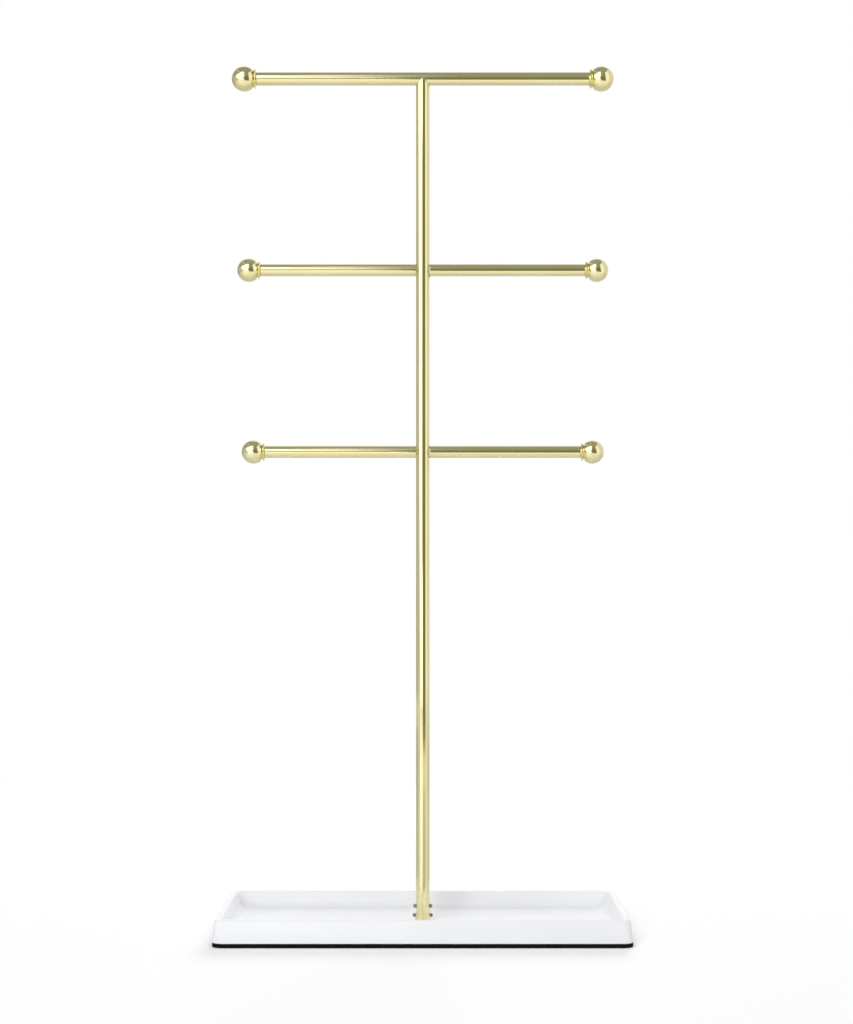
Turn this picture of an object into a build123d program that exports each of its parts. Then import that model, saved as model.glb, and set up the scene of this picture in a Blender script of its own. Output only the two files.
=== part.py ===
from build123d import *
import os
from math import atan, cos, degrees, radians, sin

# Three-bar jewellery stand: a brass-plated post with a top bar and two pairs of arms, all with turned ball
# ends, screwed to a white tray on a black pad. Millimetres, +X along the bars, -Y to the front, +Z up.
# The origin is on the table, under the middle of the post.

# ---- pad ----
PAD_THICKNESS = 2.3
PAD_EDGE_ROUND = 0.6
PAD_ACCESS_DIA = 14.0            # hole that lets a hex key reach the base screw

# ---- tray ----
TRAY_WIDTH = 229.0               # at its foot, along X
TRAY_DEPTH = 114.0               # at its foot, along Y
TRAY_HEIGHT = 12.6
TRAY_CORNER_RADIUS = 6.0
TRAY_LEAN = 1.35                 # how far each outer wall leans in by the rim
RIM_WIDTH = 3.2
RIM_ROUND = 1.4
TRAY_FLOOR = 4.0
RECESS_SLOPE = 5.0               # how far each inner wall slopes in by the floor
RECESS_RIM_CORNER = 3.5
RECESS_FLOOR_CORNER = 7.5
RECESS_COVE = 4.0
ROUND_SHARE_OF_WALL = 0.45       # two rounds on one wall never take more than this share each

# ---- post ----
POST_DIA = 7.7
POST_WALL = 0.8
SADDLE_EAR_DROP = 0.6            # the saddle's ears stop this far under the top bar's axis

# ---- bars and arms: heights over the tray's floor, spans over the tips of the balls ----
TOP_BAR_RISE = 478.7
TOP_BAR_SPAN = 218.3
TOP_BAR_DIA = 7.6
MIDDLE_ARM_RISE = 369.1
MIDDLE_ARM_SPAN = 211.6
LOWER_ARM_RISE = 265.4
LOWER_ARM_SPAN = 206.2
ARM_DIA = 6.9
ARM_NOSE_DIA = 4.8               # the coped end that seats on the post
ARM_SHOULDER_ROUND = 0.15
ARM_SHOULDER_GAP = 0.05          # from the post's side to the shoulder

# ---- cross pins ----
PIN_DIA = 3.0
PIN_GRIP = 8.0                   # length held in each arm
PIN_CHAMFER = 0.4

# ---- finials ----
TOP_BALL_DIA = 14.4
TOP_COLLAR_PROUD = 1.95          # how far the collar's lip stands out from the bar
ARM_BALL_DIA = 13.4
ARM_COLLAR_PROUD = 1.65
BALL_CUT_ANGLE = 52.0            # from the bar's axis to the edge where the ball stops at the groove
GROOVE_WIDTH = 0.5
GROOVE_DEPTH = 1.1               # below the collar's lip
FLARE_LENGTH = 1.0
FLARE_HOLLOW = 0.18
LIP_WIDTH = 0.35
COLLAR_BACK = 0.85
SPIGOT_DIA = 4.0
SPIGOT_LENGTH = 8.0
SPIGOT_CHAMFER = 0.4

# ---- foot ferrule ----
FERRULE_WALL = 0.3
FERRULE_HEIGHT = 4.0
FERRULE_CHAMFER = 0.25

# ---- foot rivets: heights over the tray's floor ----
UPPER_RIVET_RISE = 7.95
LOWER_RIVET_RISE = 2.75
RIVET_HEAD_DIA = 2.1
RIVET_PROUD = 1.6                # how far the head's tip stands out from the round it sits on
RIVET_SHANK_DIA = 1.2
RIVET_CLEAR = 0.35               # from the base screw to the shank's end
RIVET_CHAMFER = 0.15

# ---- foot insert, base screw and washer ----
THREAD_DIA = 4.0
INSERT_LENGTH = 14.0
INSERT_CHAMFER = 0.4
SCREW_LENGTH = 14.0
SCREW_HEAD_DIA = 7.6
SCREW_HEAD_HEIGHT = 2.2
SCREW_HEAD_ROUND = 1.2
HEX_ACROSS_FLATS = 2.5
HEX_DEPTH = 1.3
WASHER_DIA = 9.0
WASHER_THICKNESS = 0.8
COUNTERBORE_DEPTH = 1.5

# ---- clearances ----
SLIP_FIT = 0.05                  # radial, a part that slides on
LOOSE_FIT = 0.25                 # radial, round a screw or a washer
SEAT_GAP = 0.02                  # between a saddle or coped end and the round it sits on
BLIND_GAP = 0.5                  # left at the bottom of a blind hole

# ---- heights and radii worked out from these ----
FLOOR_Z = PAD_THICKNESS + TRAY_FLOOR
TOP_BAR_Z = FLOOR_Z + TOP_BAR_RISE
MIDDLE_ARM_Z = FLOOR_Z + MIDDLE_ARM_RISE
LOWER_ARM_Z = FLOOR_Z + LOWER_ARM_RISE
POST_RADIUS = POST_DIA / 2
POST_BORE_RADIUS = POST_RADIUS - POST_WALL
SPIGOT_HOLE_RADIUS = SPIGOT_DIA / 2 + SLIP_FIT
SPIGOT_HOLE_DEPTH = SPIGOT_LENGTH + BLIND_GAP
PIN_HOLE_RADIUS = PIN_DIA / 2 + SLIP_FIT
RIVET_HOLE_RADIUS = RIVET_SHANK_DIA / 2 + SLIP_FIT
FERRULE_RADIUS = POST_RADIUS + SLIP_FIT + FERRULE_WALL
COUNTERBORE_Z = PAD_THICKNESS + COUNTERBORE_DEPTH
HALF_TURN = 180.0


def rod(radius, length):
    """A round bar along +X that starts at the origin."""
    return Rot(0, 90, 0) * Cylinder(radius, length, align=(Align.CENTER, Align.CENTER, Align.MIN))


def upright(radius, length):
    """A round bar along +Z that starts at the origin."""
    return Cylinder(radius, length, align=(Align.CENTER, Align.CENTER, Align.MIN))


def turned_on_x(outline):
    """Spins an outline (x, radius) round the X axis."""
    return revolve(make_face(outline), Axis.X)


def turned_on_z(outline):
    """Spins an outline (radius, z) round the Z axis."""
    return revolve(Plane.XZ * make_face(outline), Axis.Z)


def bar_end_from_ball(ball_dia):
    """Distance from a ball's centre to the face where its collar meets the bar."""
    ball_cut = ball_dia / 2 * cos(radians(BALL_CUT_ANGLE))
    return ball_cut + GROOVE_WIDTH + FLARE_LENGTH + LIP_WIDTH + COLLAR_BACK


def bar_end_x(span, ball_dia):
    """Where a bar of this span over its balls ends, measured from the post's axis."""
    return span / 2 - ball_dia / 2 - bar_end_from_ball(ball_dia)


def build_pad():
    """The tray's footprint in soft sheet, its lower edge rounded, with a hole under the base screw."""
    pad = extrude(RectangleRounded(TRAY_WIDTH, TRAY_DEPTH, TRAY_CORNER_RADIUS), PAD_THICKNESS)
    under_edge = pad.faces().sort_by(Axis.Z)[0].outer_wire().edges()
    pad = fillet(under_edge, PAD_EDGE_ROUND)
    return pad - upright(PAD_ACCESS_DIA / 2, PAD_THICKNESS)


def build_tray():
    """Leaning outer walls, a recess with sloping walls and a coved floor, a rounded rim, a counterbored hole."""
    lean_angle = degrees(atan(TRAY_LEAN / TRAY_HEIGHT))
    footprint = RectangleRounded(TRAY_WIDTH, TRAY_DEPTH, TRAY_CORNER_RADIUS)
    tray = extrude(footprint, TRAY_HEIGHT, taper=lean_angle)
    mouth_inset = 2 * (TRAY_LEAN + RIM_WIDTH)
    mouth = RectangleRounded(TRAY_WIDTH - mouth_inset, TRAY_DEPTH - mouth_inset, RECESS_RIM_CORNER)
    floor_inset = mouth_inset + 2 * RECESS_SLOPE
    floor = RectangleRounded(TRAY_WIDTH - floor_inset, TRAY_DEPTH - floor_inset, RECESS_FLOOR_CORNER)
    recess = loft([Pos(0, 0, TRAY_FLOOR) * floor, Pos(0, 0, TRAY_HEIGHT) * mouth], ruled=True)
    recess = fillet(recess.faces().sort_by(Axis.Z)[0].edges(), RECESS_COVE)
    tray = tray - recess
    rim_round = min(RIM_ROUND, RIM_WIDTH * ROUND_SHARE_OF_WALL)
    tray = fillet(tray.faces().sort_by(Axis.Z)[-1].edges(), rim_round)
    tray -= upright(THREAD_DIA / 2 + LOOSE_FIT, TRAY_HEIGHT)
    tray -= upright(WASHER_DIA / 2 + LOOSE_FIT, COUNTERBORE_DEPTH)
    return Pos(0, 0, PAD_THICKNESS) * tray


def cross_hole(radius, height):
    """What a drill through the post's axis along X takes away at this height."""
    return Pos(-POST_DIA, 0, height) * rod(radius, 2 * POST_DIA)


def rivet_holes():
    return [cross_hole(RIVET_HOLE_RADIUS, FLOOR_Z + rise) for rise in (UPPER_RIVET_RISE, LOWER_RIVET_RISE)]


def build_ferrule():
    """A low thin sleeve round the foot of the post, its upper edge chamfered, drilled for the lower rivets."""
    sleeve = upright(FERRULE_RADIUS, FERRULE_HEIGHT)
    chamfer_size = min(FERRULE_CHAMFER, FERRULE_WALL * ROUND_SHARE_OF_WALL)
    sleeve = chamfer(sleeve.edges().group_by(Axis.Z)[-1], chamfer_size)
    sleeve -= upright(POST_RADIUS + SLIP_FIT, FERRULE_HEIGHT)
    return Pos(0, 0, FLOOR_Z) * sleeve - cross_hole(RIVET_HOLE_RADIUS, FLOOR_Z + LOWER_RIVET_RISE)


def build_rivet(seat_radius):
    """A drive rivet that points along +X: a round head coped to its seat, and a shank that stops by the screw."""
    head_radius = RIVET_HEAD_DIA / 2
    tip = seat_radius + RIVET_PROUD
    outline = Polyline((tip, 0), (0, 0), (0, head_radius), (tip - head_radius, head_radius))
    outline += CenterArc((tip - head_radius, 0), head_radius, 0, HALF_TURN / 2)
    head = turned_on_x(outline) - Pos(0, 0, -RIVET_HEAD_DIA) * upright(seat_radius + SEAT_GAP, 2 * RIVET_HEAD_DIA)
    tail_x = THREAD_DIA / 2 + RIVET_CLEAR
    shank = Pos(tail_x, 0, 0) * rod(RIVET_SHANK_DIA / 2, tip - head_radius - tail_x)
    return head + chamfer(shank.edges().group_by(Axis.X)[0], RIVET_CHAMFER)


def build_foot_insert():
    """A plug for the foot of the post, bored for the screw's thread and drilled for the rivets."""
    insert = upright(POST_BORE_RADIUS - SLIP_FIT, INSERT_LENGTH)
    insert = chamfer(insert.edges().group_by(Axis.Z)[-1], INSERT_CHAMFER)
    insert -= upright(THREAD_DIA / 2 + SLIP_FIT, INSERT_LENGTH)
    insert = Pos(0, 0, FLOOR_Z) * insert
    for hole in rivet_holes():
        insert -= hole
    return insert


def build_base_screw():
    head_top = COUNTERBORE_Z - WASHER_THICKNESS
    head = Pos(0, 0, -SCREW_HEAD_HEIGHT) * upright(SCREW_HEAD_DIA / 2, SCREW_HEAD_HEIGHT)
    head = fillet(head.edges().group_by(Axis.Z)[0], SCREW_HEAD_ROUND)
    socket = extrude(RegularPolygon(HEX_ACROSS_FLATS / 2, 6, major_radius=False), HEX_DEPTH)
    head -= Pos(0, 0, -SCREW_HEAD_HEIGHT) * socket
    return Pos(0, 0, head_top) * (head + upright(THREAD_DIA / 2, SCREW_LENGTH))


def build_base_washer():
    washer = upright(WASHER_DIA / 2, WASHER_THICKNESS) - upright(THREAD_DIA / 2 + LOOSE_FIT, WASHER_THICKNESS)
    return Pos(0, 0, COUNTERBORE_Z - WASHER_THICKNESS) * washer


def build_post():
    """A tube, saddle-cut at its top for the top bar and cross-drilled for the arms' pins and the foot's rivets."""
    length = TOP_BAR_RISE - SADDLE_EAR_DROP
    post = upright(POST_RADIUS, length) - upright(POST_BORE_RADIUS, length)
    post = Pos(0, 0, FLOOR_Z) * post
    post -= cross_hole(TOP_BAR_DIA / 2 + SEAT_GAP, TOP_BAR_Z)
    for arm_z in (MIDDLE_ARM_Z, LOWER_ARM_Z):
        post -= cross_hole(PIN_HOLE_RADIUS, arm_z)
    for hole in rivet_holes():
        post -= hole
    return post


def build_top_bar():
    """A solid bar with a hole in each end for a finial's spigot."""
    end_x = bar_end_x(TOP_BAR_SPAN, TOP_BALL_DIA)
    bar = Pos(-end_x, 0, 0) * rod(TOP_BAR_DIA / 2, 2 * end_x)
    bar -= Pos(-end_x, 0, 0) * rod(SPIGOT_HOLE_RADIUS, SPIGOT_HOLE_DEPTH)
    bar -= Pos(end_x - SPIGOT_HOLE_DEPTH, 0, 0) * rod(SPIGOT_HOLE_RADIUS, SPIGOT_HOLE_DEPTH)
    return Pos(0, 0, TOP_BAR_Z) * bar


def build_arm(span):
    """A right-hand arm on the X axis: a nose coped to the post, a rounded shoulder, a hole in each end."""
    end_x = bar_end_x(span, ARM_BALL_DIA)
    radius = ARM_DIA / 2
    shoulder_x = POST_RADIUS + ARM_SHOULDER_GAP
    shoulder = Pos(shoulder_x, 0, 0) * rod(radius, end_x - shoulder_x)
    shoulder = fillet(shoulder.edges().group_by(Axis.X)[0], ARM_SHOULDER_ROUND)
    nose = rod(ARM_NOSE_DIA / 2, shoulder_x)
    arm = shoulder + nose
    arm -= Pos(0, 0, -ARM_DIA) * upright(POST_RADIUS + SEAT_GAP, 2 * ARM_DIA)
    arm -= rod(PIN_HOLE_RADIUS, POST_RADIUS + PIN_GRIP + BLIND_GAP)
    arm -= Pos(end_x - SPIGOT_HOLE_DEPTH, 0, 0) * rod(SPIGOT_HOLE_RADIUS, SPIGOT_HOLE_DEPTH)
    return arm


def build_cross_pin():
    half = POST_RADIUS + PIN_GRIP
    pin = Pos(-half, 0, 0) * rod(PIN_DIA / 2, 2 * half)
    return chamfer(pin.edges().group_by(Axis.X)[0] + pin.edges().group_by(Axis.X)[-1], PIN_CHAMFER)


def build_finial(ball_dia, bar_dia, collar_proud):
    """A ball end that points along +X, with the face that meets the bar at the origin."""
    ball_radius = ball_dia / 2
    ball_edge = ball_radius * sin(radians(BALL_CUT_ANGLE))
    collar = bar_dia / 2 + collar_proud
    spigot = SPIGOT_DIA / 2
    centre_x = bar_end_from_ball(ball_dia)
    lip_x = COLLAR_BACK + LIP_WIDTH
    groove_x = lip_x + FLARE_LENGTH
    groove = collar - GROOVE_DEPTH
    ball_x = groove_x + GROOVE_WIDTH
    outline = Polyline(
        (centre_x + ball_radius, 0),
        (-SPIGOT_LENGTH, 0),
        (-SPIGOT_LENGTH, spigot - SPIGOT_CHAMFER),
        (-SPIGOT_LENGTH + SPIGOT_CHAMFER, spigot),
        (0, spigot),
        (0, bar_dia / 2),
        (COLLAR_BACK, collar),
        (lip_x, collar),
    )
    outline += SagittaArc((lip_x, collar), (groove_x, groove), -FLARE_HOLLOW)
    outline += Line((groove_x, groove), (ball_x, ball_edge))
    outline += CenterArc((centre_x, 0), ball_radius, 0, HALF_TURN - BALL_CUT_ANGLE)
    return turned_on_x(outline)


def add_pair(nodes, name, height, end_x, piece):
    """Puts a piece that points along +X on the right, and its turned copy on the left."""
    nodes[f"{name}_right"] = Pos(end_x, 0, height) * piece
    nodes[f"{name}_left"] = Pos(-end_x, 0, height) * Rot(0, 0, HALF_TURN) * piece


def build_nodes():
    nodes = {
        "base_pad": build_pad(),
        "base_tray": build_tray(),
        "base_washer": build_base_washer(),
        "base_screw": build_base_screw(),
        "foot_insert": build_foot_insert(),
        "foot_ferrule": build_ferrule(),
        "post": build_post(),
        "top_bar": build_top_bar(),
    }
    add_pair(nodes, "foot_rivet_upper", FLOOR_Z + UPPER_RIVET_RISE, 0, build_rivet(POST_RADIUS))
    add_pair(nodes, "foot_rivet_lower", FLOOR_Z + LOWER_RIVET_RISE, 0, build_rivet(FERRULE_RADIUS))
    top_finial = build_finial(TOP_BALL_DIA, TOP_BAR_DIA, TOP_COLLAR_PROUD)
    add_pair(nodes, "top_finial", TOP_BAR_Z, bar_end_x(TOP_BAR_SPAN, TOP_BALL_DIA), top_finial)
    arm_finial = build_finial(ARM_BALL_DIA, ARM_DIA, ARM_COLLAR_PROUD)
    for name, height, span in (
        ("middle", MIDDLE_ARM_Z, MIDDLE_ARM_SPAN),
        ("lower", LOWER_ARM_Z, LOWER_ARM_SPAN),
    ):
        add_pair(nodes, f"{name}_arm", height, 0, build_arm(span))
        nodes[f"{name}_cross_pin"] = Pos(0, 0, height) * build_cross_pin()
        add_pair(nodes, f"{name}_finial", height, bar_end_x(span, ARM_BALL_DIA), arm_finial)
    return nodes


os.makedirs("parts", exist_ok=True)
for node_name, solid in build_nodes().items():
    export_step(solid, f"parts/{node_name}.step")
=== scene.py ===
"""Looks for a three-bar jewellery stand: brass-plated post, bars and ball ends over a white tray on a pad.

Metres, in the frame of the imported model: +X along the bars, -Y to the front, +Z up, the origin on the table
under the post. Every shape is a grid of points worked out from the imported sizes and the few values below.
"""

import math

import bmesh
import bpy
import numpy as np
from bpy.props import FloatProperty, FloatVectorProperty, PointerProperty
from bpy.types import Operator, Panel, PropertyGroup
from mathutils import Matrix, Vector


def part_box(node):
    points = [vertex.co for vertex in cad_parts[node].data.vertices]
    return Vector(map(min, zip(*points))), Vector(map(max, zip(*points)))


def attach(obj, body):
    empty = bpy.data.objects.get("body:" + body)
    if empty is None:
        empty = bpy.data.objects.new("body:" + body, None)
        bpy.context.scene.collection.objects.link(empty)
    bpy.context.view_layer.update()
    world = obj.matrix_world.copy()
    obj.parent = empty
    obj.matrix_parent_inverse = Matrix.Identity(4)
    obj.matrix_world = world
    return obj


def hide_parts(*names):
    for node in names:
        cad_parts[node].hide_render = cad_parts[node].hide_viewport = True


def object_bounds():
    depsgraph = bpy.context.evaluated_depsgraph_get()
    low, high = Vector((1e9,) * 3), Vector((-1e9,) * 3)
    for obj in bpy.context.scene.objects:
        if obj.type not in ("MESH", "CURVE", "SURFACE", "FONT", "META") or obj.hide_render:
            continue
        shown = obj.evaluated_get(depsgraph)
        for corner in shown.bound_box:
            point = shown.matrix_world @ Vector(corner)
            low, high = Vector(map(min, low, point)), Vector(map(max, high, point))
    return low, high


bl_info = {
    "name": "Three-bar jewellery stand",
    "version": (1, 0, 0),
    "blender": (4, 5, 0),
    "location": "View3D > Sidebar > Stand",
    "description": "Builds the visible pieces, materials and studio of a three-bar jewellery stand",
    "category": "Object",
}

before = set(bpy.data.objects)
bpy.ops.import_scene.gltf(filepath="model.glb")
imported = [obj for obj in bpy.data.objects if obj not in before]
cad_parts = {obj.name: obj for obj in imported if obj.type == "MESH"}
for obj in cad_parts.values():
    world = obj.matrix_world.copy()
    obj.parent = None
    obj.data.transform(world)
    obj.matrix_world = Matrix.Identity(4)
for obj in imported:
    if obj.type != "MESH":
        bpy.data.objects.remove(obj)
CAD_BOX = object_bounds()

MM = 0.001
BODY = "root"
HANDS = (("left", -1), ("right", 1))
ARM_TIERS = ("middle", "lower")

# How finely the surfaces are cut
SIDES = 96                       # faces round a turned piece
CORNER_SIDES = 12                # faces round each corner of the tray and the pad
EDGE_SIDES = 6                   # faces along each straight side of the tray and the pad
ARC_STEPS = 8                    # points on a small rounded edge
TRAY_ARC_STEPS = 12              # points on each rounded edge of the tray
BALL_STEPS = 48                  # points from the ball's tip to its groove
LENGTH_STEPS = 24                # rows along the post
FLAT_RUN = 4                     # flat face kept beside the tray's and the pad's lowest edge, in its radii
HELD = 3                         # radii from an edge to the row that keeps its round out of a rod's shading
SHARP_ANGLE = math.radians(32)   # edges that turn more than this stay crisp
MERGE_DISTANCE = 0.0005 * MM
AROUND = np.linspace(0, 2 * math.pi, SIDES, endpoint=False)
EVERY_SIDE = np.ones(SIDES)


# ---- colours ----

def linear(hex_code):
    """A colour in linear light from its sRGB hex value."""
    channels = np.array([int(hex_code[i:i + 2], 16) for i in (1, 3, 5)]) / 255
    low = channels / 12.92
    high = ((channels + 0.055) / 1.055) ** 2.4
    return tuple(float(c) for c in np.where(channels <= 0.04045, low, high))


def rgba(channels):
    """The four numbers that a colour socket takes."""
    return (*channels, 1.0)


# ---- properties ----

def length(name, millimetres, description):
    """A size that a user may change, given in millimetres."""
    return FloatProperty(
        name=name, description=description, default=millimetres * MM, min=0.0, unit="LENGTH",
        subtype="DISTANCE",
    )


def share(name, value, description, high=1.0):
    """A plain factor, such as a roughness."""
    return FloatProperty(
        name=name, description=description, default=value, min=0.0, max=high, subtype="FACTOR"
    )


def angle(name, degrees, description):
    """An angle, given in degrees."""
    return FloatProperty(name=name, description=description, default=math.radians(degrees), subtype="ANGLE")


def colour(name, hex_code, description):
    """A colour, given as its sRGB hex value."""
    return FloatVectorProperty(
        name=name, description=description, default=linear(hex_code), size=3, min=0.0, max=1.0,
        subtype="COLOR",
    )


class TraySizes(PropertyGroup):
    """The tray and the pad under it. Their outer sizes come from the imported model."""

    lean: length("Lean", 1.35, "How far each outer wall leans in by the rim")
    rim_width: length("Rim width", 3.2, "Flat width of the rim before its edges are rounded")
    rim_round: length("Rim round", 1.4, "Radius of the rim's two edges")
    foot_round: length("Foot round", 0.35, "Radius of the tray's lowest outer edge")
    corner: length("Corner", 6.0, "Corner radius at the foot")
    recess_rim_corner: length("Recess rim corner", 3.5, "Corner radius of the recess at the rim")
    recess_floor_corner: length("Recess floor corner", 7.5, "Corner radius where the recess meets its floor")
    recess_slope: length("Recess slope", 5.0, "How far each inner wall slopes in by the floor")
    cove: length("Cove", 7.0, "Radius between the inner walls and the floor, with the mould's easing")
    floor: length("Floor", 4.0, "Thickness under the recess")
    screw_hole: length("Screw hole", 2.25, "Radius of the hole for the base screw")
    counterbore: length("Counterbore", 4.75, "Radius of the seat for the washer")
    counterbore_depth: length("Counterbore depth", 1.5, "Depth of that seat")
    pad_hole: length("Pad hole", 7.0, "Radius of the hole that lets a key reach the screw")
    pad_round: length("Pad round", 0.6, "Radius of the pad's lower edge")
    pad_cut: length("Pad cut", 0.2, "Radius of the pad's upper edge, where the die bit first")


class RodSizes(PropertyGroup):
    """The post, the bars, the arms and their braze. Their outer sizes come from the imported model."""

    wall: length("Tube wall", 0.8, "Wall of the post")
    ear_drop: length("Ear drop", 0.6, "How far under the top bar's axis the saddle's ears stop")
    nose: length("Nose", 2.4, "Radius of the arm's coped nose")
    shoulder_gap: length("Shoulder gap", 0.05, "From the post's side to the arm's shoulder")
    shoulder_round: length("Shoulder round", 0.15, "Radius of the arm's shoulder")
    seat_gap: length("Seat gap", 0.02, "Between a coped end or saddle and the round it sits on")
    pin_hole: length("Pin hole", 1.55, "Radius of the hole for the cross pin")
    pin_depth: length("Pin depth", 8.5, "Depth of that hole past the post's side")
    spigot_hole: length("Spigot hole", 2.05, "Radius of the hole for a ball end's spigot")
    spigot_hole_depth: length("Spigot hole depth", 8.5, "Depth of that hole")
    end_break: length("End break", 0.15, "Radius on the cut ends of rods and tubes")
    saddle_braze: length("Saddle braze", 0.34, "Leg of the braze fillet under the top bar")
    arm_braze: length("Arm braze", 0.0425, "How far an arm's braze stands past the nose, in front and behind")
    drop_rise: length("Drop rise", 1.36, "Half the height of the bead of braze by the middle right arm")
    drop_radius: length("Drop radius", 0.408, "Radius of that bead halfway up")
    drop_forward: length("Drop forward", 0.77, "How far in front of the post's axis that bead sits")
    drop_under: length("Drop under", 3.12, "How far under the arm's axis that bead's middle is")


class TurnedSizes(PropertyGroup):
    """The ball ends, the foot ferrule and its rivets."""

    ball_cut: angle("Ball cut", 52.0, "From the bar's axis to the edge where the ball stops at the groove")
    top_collar_proud: length("Top collar", 1.95, "How far the top bar's collars stand out from the bar")
    arm_collar_proud: length("Arm collar", 1.65, "How far the arms' collars stand out from the arm")
    groove_width: length("Groove width", 0.5, "Width of the groove behind the ball")
    groove_depth: length("Groove depth", 1.1, "Depth of the groove under the collar's lip")
    flare_length: length("Flare length", 1.0, "Length of the hollow flare up to the lip")
    flare_hollow: length("Flare hollow", 0.18, "How far the flare is hollowed")
    lip_width: length("Lip width", 0.35, "Width of the collar's lip")
    collar_back: length("Collar back", 0.85, "Length of the collar's slope down to the bar")
    spigot: length("Spigot", 2.0, "Radius of the spigot in the bar")
    spigot_length: length("Spigot length", 8.0, "Length of the spigot")
    spigot_chamfer: length("Spigot chamfer", 0.4, "Chamfer on the spigot's end")
    edge: length("Edge", 0.07, "Radius that polishing leaves on a turned edge")
    sleeve_gap: length("Sleeve gap", 0.05, "Between the post and the ferrule")
    sleeve_chamfer: length("Sleeve chamfer", 0.135, "Chamfer on the ferrule's upper edge")
    rivet_shank: length("Rivet shank", 0.6, "Radius of a foot rivet's shank")
    rivet_chamfer: length("Rivet chamfer", 0.15, "Chamfer on the shank's end")
    rivet_seat: length("Rivet seat", 0.02, "Between a rivet's head and the round it sits on")


class Finishes(PropertyGroup):
    """Colours and gloss of the real materials, with painted shade in the rivets' colour."""

    brass: colour("Brass plate", "#EBE4B3", "Pale bright brass plate, clear where it is thick")
    brass_thin: colour("Thin brass plate", "#E7DDA8", "The same plate, a little yellower where it is thin")
    braze: colour("Braze", "#CFC898", "Plated braze metal at the joints")
    # painted shade: the rivets' dark olive-grey stands for the dark reflections on their heads
    rivet: colour("Rivet", "#8F8766", "Thin dull plate on the foot rivets")
    bare_brass: colour("Bare brass", "#C9A45A", "The unplated turned insert")
    zinc: colour("Zinc plate", "#C3C8CC", "Bright zinc plate on the steel fixings")
    enamel: colour("Tray white", "#F4F5F8", "Cool white of the moulded tray")
    foam: colour("Pad black", "#0B0B0C", "Soot black of the foam pad")
    brass_gloss: share("Brass roughness", 0.085, "Roughness of the bright plate")
    tray_gloss: share("Tray roughness", 0.14, "Roughness of the tray's moulded skin")


class Studio(PropertyGroup):
    """The camera, the floor, the light, and the tint of the glowing panels that paint dark cloth into the
    metal's reflections.
    """

    lens: FloatProperty(name="Lens", description="Focal length on a 36 mm long side", default=78.81, min=1.0)
    camera_x: length("Camera side", 2.1, "How far right of the post the camera stands")
    camera_distance: length("Camera distance", 1275.0, "From the camera to the plane of the bars")
    camera_height: length("Camera height", 208.8, "Height of the camera over the table")
    camera_tilt: angle("Camera tilt", 1.289, "How far the camera looks up")
    floor: colour("Floor", "#F7F7F7", "Pale paper under the stand")
    sky: share("Sky", 0.50, "Even light from the white studio, on surfaces", 4.0)
    top_light: share("Top light", 0.22, "Soft light from above, as brightness on white", 4.0)
    key_light: share("Key light", 0.28, "Light from the front left, which throws the post's shadow", 4.0)
    side_light: share("Side light", 0.10, "Soft light from the left, as brightness on white", 4.0)
    back_light: share("Back light", 0.65, "Light from behind, which throws the base's shadow forward", 4.0)
    # painted reflection: tint of the glowing panels that stand for dark cloth in the metal
    cloth: colour("Cloth", "#FCFADA", "Tint of the dark cloth that the metal reflects")


# ---- shapes ----

def box_of(node):
    """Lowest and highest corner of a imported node."""
    return [np.array(corner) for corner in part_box(node)]


def upright_radius(node):
    """Outer radius of a round piece that stands on the post's axis."""
    return box_of(node)[1][0]


def level_round(node):
    """Radius of a round piece that lies along X, and the height of its axis."""
    low, high = box_of(node)
    return (high[2] - low[2]) / 2, (high[2] + low[2]) / 2


def reach(node):
    """How far a piece's nearer and further end along X lie from the post's axis."""
    low, high = box_of(node)
    return sorted((abs(low[0]), abs(high[0])))


def unit(vectors):
    """Vectors cut to a length of one, along the last axis."""
    return vectors / np.maximum(np.linalg.norm(vectors, axis=-1, keepdims=True), 1e-12)


def rounded(corners, radii, steps=ARC_STEPS, closed=False):
    """A line through flat corners, with each corner turned as an arc.

    Where the lines to the last and the next corner leave at an angle 2h, the arc's tangent points lie
    radius / tan h from the corner and its centre radius / sin h from it, halfway between the lines. The arc
    is the even turn from one tangent point to the other about that centre.
    """
    corners = np.asarray(corners, float)
    radii = np.asarray(radii, float)[:, None]
    back = unit(np.roll(corners, 1, axis=0) - corners)
    ahead = unit(np.roll(corners, -1, axis=0) - corners)
    if not closed:
        back[0] = -ahead[0]
        ahead[-1] = -back[-1]
    half = np.arccos(np.clip(np.sum(back * ahead, axis=1, keepdims=True), -1, 1)) / 2
    half = np.clip(half, 1e-4, math.pi / 2 - 1e-6)
    centre = corners + unit(back + ahead) * radii / np.sin(half)
    start = corners + back * radii / np.tan(half) - centre
    end = corners + ahead * radii / np.tan(half) - centre
    turn = np.maximum(math.pi - 2 * half, 1e-6)[:, None, :]
    along = np.linspace(0, 1, steps)[None, :, None]
    swung = np.sin((1 - along) * turn) * start[:, None, :] + np.sin(along * turn) * end[:, None, :]
    return (centre[:, None, :] + swung / np.sin(turn)).reshape(-1, 2)


def bulge(start, end, rise):
    """A circular arc from start to end that rises this far to the left of its chord.

    The radius is (half chord squared + rise squared) / (2 rise), and the arc runs evenly between plus and
    minus the angle whose tangent of the half is rise / half chord.
    """
    start, end = np.asarray(start, float), np.asarray(end, float)
    half_chord = np.linalg.norm(end - start) / 2
    ahead = (end - start) / (2 * half_chord)
    left = np.array([-ahead[1], ahead[0]])
    radius = (half_chord ** 2 + rise ** 2) / (2 * rise)
    swing = 2 * math.atan(rise / half_chord) * np.linspace(-1, 1, ARC_STEPS)[:, None]
    middle = (start + end) / 2 + left * (rise - radius)
    return middle + radius * (ahead * np.sin(swing) + left * np.cos(swing))


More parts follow.
